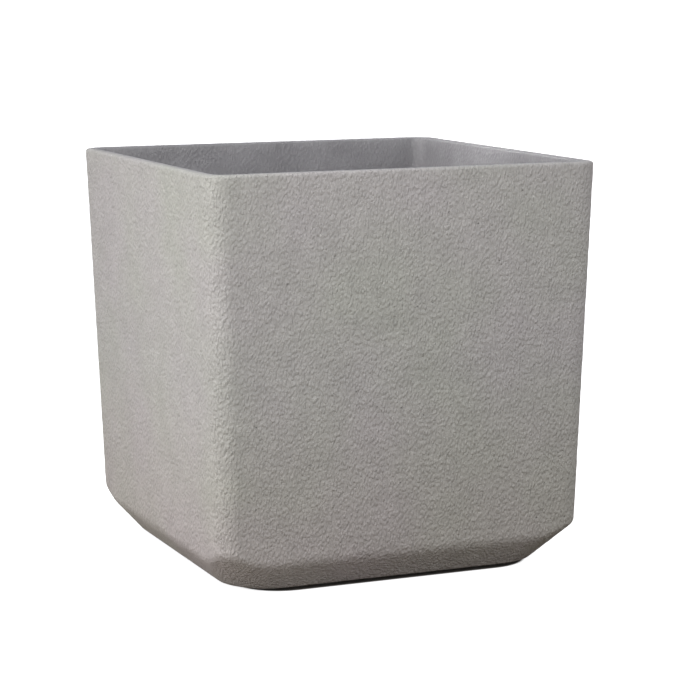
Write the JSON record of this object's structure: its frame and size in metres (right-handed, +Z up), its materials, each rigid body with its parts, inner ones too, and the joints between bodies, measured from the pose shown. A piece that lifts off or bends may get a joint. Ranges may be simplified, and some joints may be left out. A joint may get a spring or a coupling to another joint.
{
  "type": "planter",
  "caption": "Square tapered stone-look planter with rounded corners, a thin plain rim, a chamfered base, low feet and a lift-out drain plug.",
  "frame": {"origin": "on the ground, under the centre of the square base", "axes": "+Z up through the open top; X and Y square to the four walls, with the front at -Y"},
  "size_m": [0.3998, 0.3998, 0.4],
  "materials": {
    "stone_composite": "matt, fine sandy grain",
    "plug_rubber": "matt moulded rubber",
    "foot_rubber": "matt moulded rubber"
  },
  "bodies": {
    "shell": {"planter_shell": "stone_composite", "foot_front_left": "foot_rubber", "foot_front_right": "foot_rubber", "foot_rear_left": "foot_rubber", "foot_rear_right": "foot_rubber"},
    "plug": {"drain_plug": "plug_rubber"}
  },
  "joints": [
    {"name": "plug_lift", "type": "slide", "parent": "shell", "child": "plug", "axis": [0, 0, 1], "range_m": [0, 0.42]}
  ]
}
